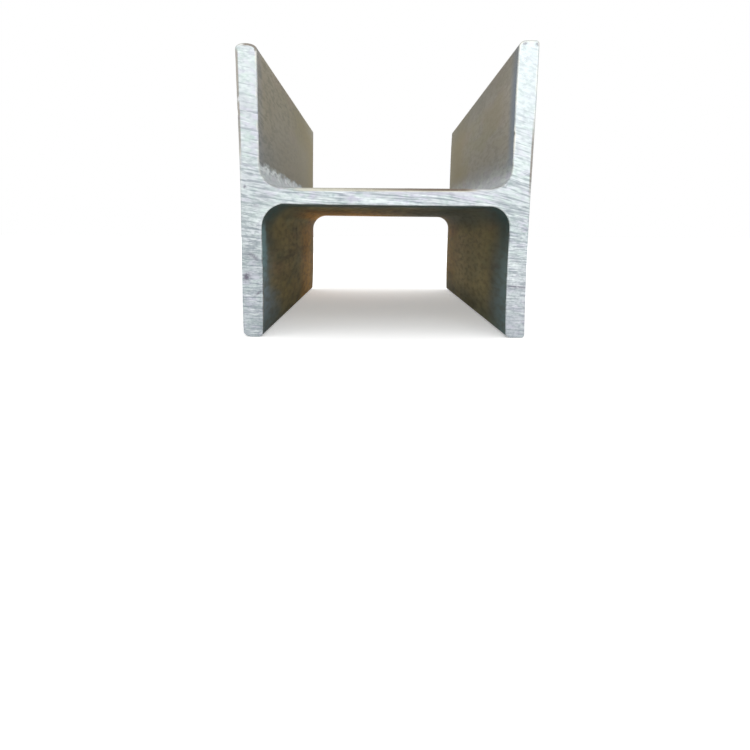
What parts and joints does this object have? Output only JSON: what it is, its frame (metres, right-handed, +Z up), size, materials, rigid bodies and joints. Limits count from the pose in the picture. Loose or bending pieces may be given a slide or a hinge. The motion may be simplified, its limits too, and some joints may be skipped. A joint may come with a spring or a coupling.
{
  "type": "steel h-beam",
  "caption": "Short sawn length of hot-rolled wide-flange H-beam: two equal parallel flanges joined by a central web with filleted roots, standing on its flange toes.",
  "frame": {"origin": "under the middle of the beam, level with the lower flange toes it stands on", "axes": "+Z up across the flanges' width, +Y along the beam's length, +X across the section's depth from flange to flange"},
  "size_m": [0.101, 0.2, 0.099],
  "materials": {
    "rolled_steel": "band-sawn bright ends, hot-rolled faces under brown-grey mill scale with light rust"
  },
  "bodies": {
    "root": {"h_beam": "rolled_steel"}
  },
  "joints": []
}
